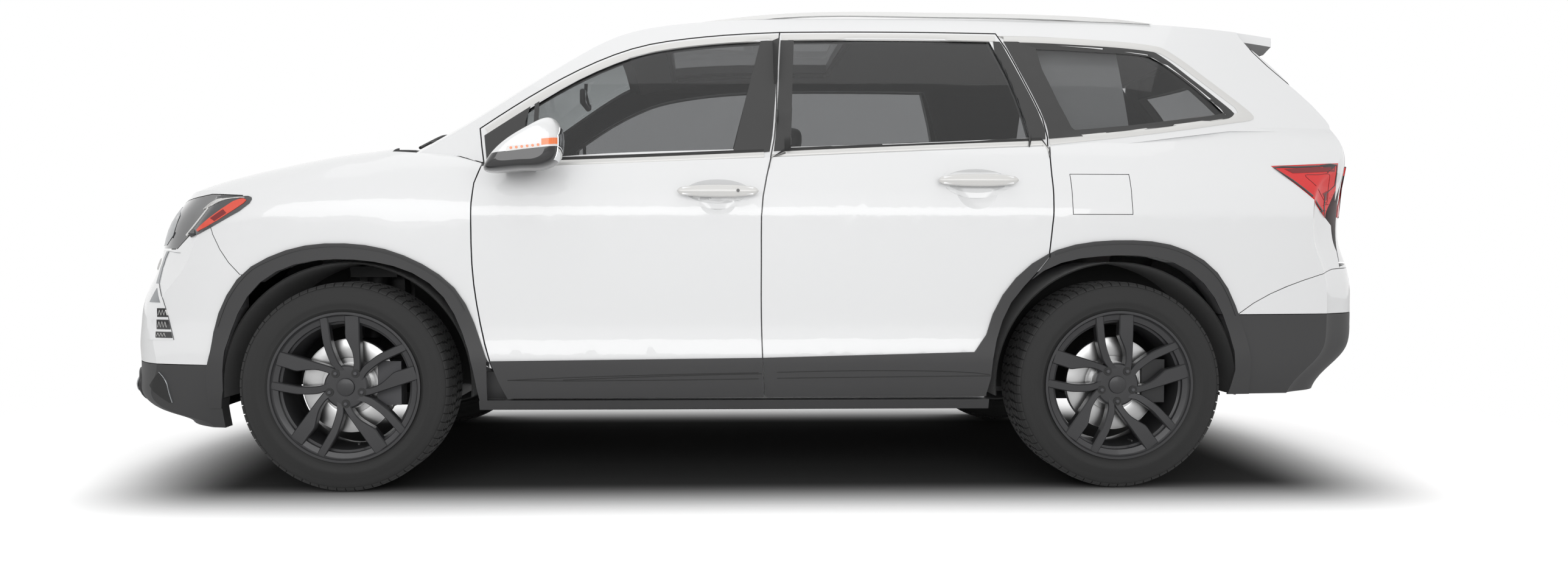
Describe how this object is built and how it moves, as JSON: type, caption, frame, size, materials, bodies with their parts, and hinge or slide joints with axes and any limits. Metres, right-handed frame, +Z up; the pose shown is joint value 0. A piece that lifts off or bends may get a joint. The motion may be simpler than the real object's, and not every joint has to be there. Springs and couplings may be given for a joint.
{
  "type": "sport utility vehicle",
  "caption": "Family sport utility vehicle with opening doors, hood, tailgate and fuel flap, steered front wheels, dark lower cladding and roof rails.",
  "frame": {"origin": "middle of the car's length and width, at the ground under the tyres", "axes": "+X from the nose to the tail, +Y to the car's right, +Z up; the picture's view is from -Y with the nose towards -X"},
  "size_m": [4.941, 2.3, 1.8069],
  "materials": {
    "paint": "gloss",
    "cladding": "satin",
    "glass": "gloss",
    "lamp_glass": "gloss",
    "lamp_red": "gloss",
    "grille": "gloss",
    "tyre": "matt",
    "alloy": "satin",
    "disc": "machined",
    "hub": "rough cast",
    "chassis": "satin",
    "floor": "satin",
    "engine": "cast",
    "exhaust": "dull",
    "liner": "rough",
    "seat": "grained",
    "interior": "grained"
  },
  "bodies": {
    "body": {"body_side_left": "paint", "body_side_right": "paint", "roof_panel": "paint", "front_fenders": "paint", "front_bumper": "paint", "rear_bumper": "paint", "roof_rails": "paint", "front_bumper_lower": "cladding", "rear_bumper_lower": "cladding", "body_cladding": "cladding", "cowl": "cladding", "windscreen": "glass", "fixed_glass": "glass", "headlamps": "lamp_glass", "tail_lamps": "lamp_red", "grille": "grille", "front_suspension": "chassis", "rear_suspension": "chassis", "floor_pan": "floor", "firewall": "floor", "engine_block": "engine", "exhaust": "exhaust", "wheel_liners": "liner", "front_seats": "seat", "rear_seats": "seat", "dashboard": "interior"},
    "hood": {"hood": "paint"},
    "tailgate": {"tailgate": "paint", "tailgate_glass": "glass"},
    "fuel_flap": {"fuel_flap": "paint"},
    "steering_wheel": {"steering_wheel": "interior"},
    "knuckle_left": {"knuckle_left": "hub"},
    "knuckle_right": {"knuckle_right": "hub"},
    "door_fl": {"door_fl": "paint", "door_fl_cladding": "cladding", "door_fl_glass": "glass", "mirror_left": "paint"},
    "wheel_fl": {"tyre_fl": "tyre", "rim_fl": "alloy", "disc_fl": "disc"},
    "door_fr": {"door_fr": "paint", "door_fr_cladding": "cladding", "door_fr_glass": "glass", "mirror_right": "paint"},
    "wheel_fr": {"tyre_fr": "tyre", "rim_fr": "alloy", "disc_fr": "disc"},
    "door_rl": {"door_rl": "paint", "door_rl_cladding": "cladding", "door_rl_glass": "glass"},
    "wheel_rl": {"tyre_rl": "tyre", "rim_rl": "alloy", "disc_rl": "disc"},
    "door_rr": {"door_rr": "paint", "door_rr_cladding": "cladding", "door_rr_glass": "glass"},
    "wheel_rr": {"tyre_rr": "tyre", "rim_rr": "alloy", "disc_rr": "disc"}
  },
  "joints": [
    {"name": "steering", "type": "hinge", "parent": "body", "child": "steering_wheel", "pos_m": [-0.55282, -0.37, 1.01781], "axis": [0.9439, 0, 0.3304], "range_deg": [-500, 500]},
    {"name": "steer_left", "type": "hinge", "parent": "body", "child": "knuckle_left", "pos_m": [-1.488, -0.822, 0.38], "axis": [0, 0, 1], "range_deg": [-33, 33]},
    {"name": "steer_right", "type": "hinge", "parent": "body", "child": "knuckle_right", "pos_m": [-1.488, 0.822, 0.38], "axis": [0, 0, 1], "range_deg": [-33, 33]},
    {"name": "wheel_fl_spin", "type": "hinge", "parent": "knuckle_left", "child": "wheel_fl", "pos_m": [-1.488, -0.842, 0.38], "axis": [0, 1, 0], "continuous": true},
    {"name": "wheel_fr_spin", "type": "hinge", "parent": "knuckle_right", "child": "wheel_fr", "pos_m": [-1.488, 0.842, 0.38], "axis": [0, 1, 0], "continuous": true},
    {"name": "wheel_rl_spin", "type": "hinge", "parent": "body", "child": "wheel_rl", "pos_m": [1.332, -0.842, 0.38], "axis": [0, 1, 0], "continuous": true},
    {"name": "wheel_rr_spin", "type": "hinge", "parent": "body", "child": "wheel_rr", "pos_m": [1.332, 0.842, 0.38], "axis": [0, 1, 0], "continuous": true},
    {"name": "door_fl_hinge", "type": "hinge", "parent": "body", "child": "door_fl", "pos_m": [-1.011, -0.984, 0.8], "axis": [0, 0, -1], "range_deg": [0, 65]},
    {"name": "door_fr_hinge", "type": "hinge", "parent": "body", "child": "door_fr", "pos_m": [-1.011, 0.984, 0.8], "axis": [0, 0, 1], "range_deg": [0, 65]},
    {"name": "door_rl_hinge", "type": "hinge", "parent": "body", "child": "door_rl", "pos_m": [0.0325, -0.985, 0.8], "axis": [0, 0, -1], "range_deg": [0, 65]},
    {"name": "door_rr_hinge", "type": "hinge", "parent": "body", "child": "door_rr", "pos_m": [0.0325, 0.985, 0.8], "axis": [0, 0, 1], "range_deg": [0, 65]},
    {"name": "hood_hinge", "type": "hinge", "parent": "body", "child": "hood", "pos_m": [-1.408, 0, 1.3], "axis": [0, 1, 0], "range_deg": [0, 50]},
    {"name": "tailgate_hinge", "type": "hinge", "parent": "body", "child": "tailgate", "pos_m": [1.942, 0, 1.755], "axis": [0, -1, 0], "range_deg": [0, 78]},
    {"name": "fuel_flap_hinge", "type": "hinge", "parent": "body", "child": "fuel_flap", "pos_m": [1.157, -0.9665, 1.08], "axis": [0, -0.25, -0.9682], "range_deg": [0, 85]}
  ],
  "couplings": [
    {"joint": "steer_left", "follows": "steering", "ratio": 0.066},
    {"joint": "steer_right", "follows": "steering", "ratio": 0.066}
  ]
}
